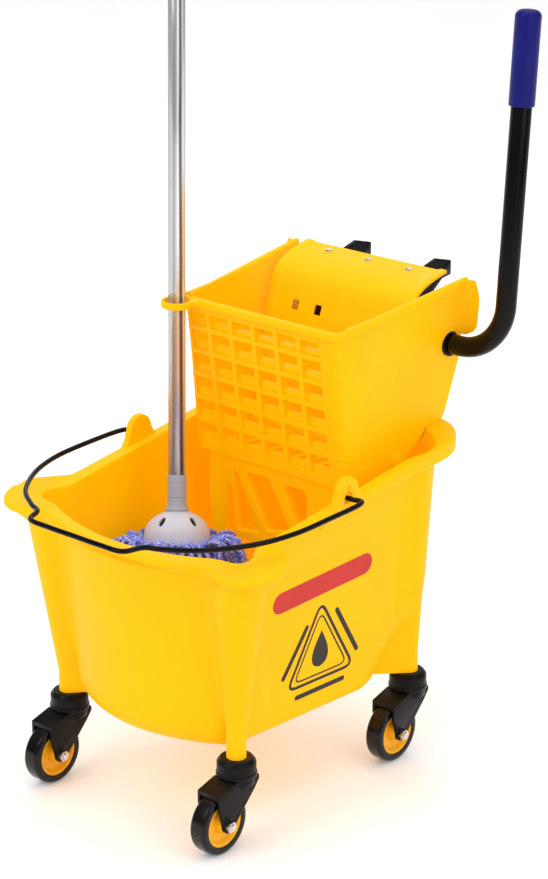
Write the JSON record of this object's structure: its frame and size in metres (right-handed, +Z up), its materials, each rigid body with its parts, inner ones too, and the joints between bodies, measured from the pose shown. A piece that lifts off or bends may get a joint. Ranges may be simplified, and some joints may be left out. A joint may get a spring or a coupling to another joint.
{
  "type": "mop and bucket with wringer",
  "caption": "Wheeled mop bucket with tilted rim, bail, lift-out side-press wringer with bent lever, and a dome-headed looped mop held in a ring at the wringer's corner.",
  "frame": {"origin": "bottom centre of the whole object's box, on the floor", "axes": "+Z up, +X towards the lever side, +Y towards the wringer end"},
  "size_m": [0.5408, 0.596, 1.4521],
  "materials": {
    "bucket_yellow": "satin moulded plastic",
    "caster_black": "satin",
    "hub_amber": "gloss",
    "tyre_black": "gloss",
    "zinc_steel": "bright",
    "bail_black": "powder coat",
    "lever_black": "gloss paint",
    "grip_blue": "satin",
    "bearing_black": "matte",
    "handle_steel": "polished stainless",
    "mop_grey": "satin",
    "yarn_blue": "looped microfibre"
  },
  "bodies": {
    "bucket": {"bucket_tub": "bucket_yellow", "caster_cap_1": "caster_black", "caster_stem_1": "zinc_steel", "caster_cap_2": "caster_black", "caster_stem_2": "zinc_steel", "caster_cap_3": "caster_black", "caster_stem_3": "zinc_steel", "caster_cap_4": "caster_black", "caster_stem_4": "zinc_steel"},
    "bail": {"bail_wire": "bail_black"},
    "wringer": {"wringer_body": "bucket_yellow", "wringer_frame": "bucket_yellow", "mop_holder_ring": "bucket_yellow", "frame_screws": "zinc_steel", "hinge_rod": "zinc_steel", "rod_push_nuts": "zinc_steel", "shaft_bushing_left": "bearing_black", "shaft_bushing_right": "bearing_black", "return_spring_left": "zinc_steel", "return_spring_right": "zinc_steel"},
    "press": {"press_plate": "bucket_yellow", "plate_screws": "zinc_steel"},
    "lever": {"lever_shaft": "zinc_steel", "lever_tube": "lever_black", "lever_grip": "grip_blue", "press_arm_left": "lever_black", "press_arm_right": "lever_black", "shaft_collars": "lever_black"},
    "mop": {"mop_dome": "mop_grey", "mop_collar": "mop_grey", "mop_tube": "handle_steel", "mop_end_cap": "mop_grey", "mop_clamp_disc": "mop_grey", "mop_clamp_screw": "zinc_steel", "mop_yarn": "yarn_blue"},
    "swivel_1": {"caster_fork_1": "caster_black", "axle_bolt_1": "zinc_steel", "axle_nut_1": "zinc_steel"},
    "wheel_1": {"wheel_hub_1": "hub_amber", "wheel_tyre_1": "tyre_black"},
    "swivel_2": {"caster_fork_2": "caster_black", "axle_bolt_2": "zinc_steel", "axle_nut_2": "zinc_steel"},
    "wheel_2": {"wheel_hub_2": "hub_amber", "wheel_tyre_2": "tyre_black"},
    "swivel_3": {"caster_fork_3": "caster_black", "axle_bolt_3": "zinc_steel", "axle_nut_3": "zinc_steel"},
    "wheel_3": {"wheel_hub_3": "hub_amber", "wheel_tyre_3": "tyre_black"},
    "swivel_4": {"caster_fork_4": "caster_black", "axle_bolt_4": "zinc_steel", "axle_nut_4": "zinc_steel"},
    "wheel_4": {"wheel_hub_4": "hub_amber", "wheel_tyre_4": "tyre_black"}
  },
  "joints": [
    {"name": "caster_swivel_1", "type": "hinge", "parent": "bucket", "child": "swivel_1", "pos_m": [-0.08639, -0.1788, 0.08], "axis": [0, 0, 1], "continuous": true},
    {"name": "wheel_spin_1", "type": "hinge", "parent": "swivel_1", "child": "wheel_1", "pos_m": [-0.08639, -0.2105, 0.0375], "axis": [1, 0, 0], "continuous": true},
    {"name": "caster_swivel_2", "type": "hinge", "parent": "bucket", "child": "swivel_2", "pos_m": [0.18621, -0.1788, 0.08], "axis": [0, 0, 1], "continuous": true},
    {"name": "wheel_spin_2", "type": "hinge", "parent": "swivel_2", "child": "wheel_2", "pos_m": [0.18621, -0.2105, 0.0375], "axis": [1, 0, 0], "continuous": true},
    {"name": "caster_swivel_3", "type": "hinge", "parent": "bucket", "child": "swivel_3", "pos_m": [-0.08639, 0.1368, 0.08], "axis": [0, 0, 1], "continuous": true},
    {"name": "wheel_spin_3", "type": "hinge", "parent": "swivel_3", "child": "wheel_3", "pos_m": [-0.08639, 0.1051, 0.0375], "axis": [1, 0, 0], "continuous": true},
    {"name": "caster_swivel_4", "type": "hinge", "parent": "bucket", "child": "swivel_4", "pos_m": [0.18621, 0.1368, 0.08], "axis": [0, 0, 1], "continuous": true},
    {"name": "wheel_spin_4", "type": "hinge", "parent": "swivel_4", "child": "wheel_4", "pos_m": [0.18621, 0.1051, 0.0375], "axis": [1, 0, 0], "continuous": true},
    {"name": "bail_swing", "type": "hinge", "parent": "bucket", "child": "bail", "pos_m": [0.04991, -0.021, 0.388], "axis": [-1, 0, 0], "range_deg": [0, 80]},
    {"name": "wringer_lift", "type": "slide", "parent": "bucket", "child": "wringer", "axis": [0, 0, 1], "range_m": [0, 0.2]},
    {"name": "lever_pull", "type": "hinge", "parent": "wringer", "child": "lever", "pos_m": [0.04991, 0.219, 0.508], "axis": [1, 0, 0], "range_deg": [0, 80], "stiffness_Nm_per_rad": 1.5},
    {"name": "plate_press", "type": "hinge", "parent": "wringer", "child": "press", "pos_m": [0.04991, 0.129, 0.381], "axis": [1, 0, 0], "range_deg": [0, 32]},
    {"name": "mop_lift", "type": "slide", "parent": "wringer", "child": "mop", "axis": [-0.2052, 0.234, 0.9503], "range_m": [0, 0.05]}
  ],
  "couplings": [
    {"joint": "plate_press", "follows": "lever_pull", "ratio": 0.38}
  ]
}
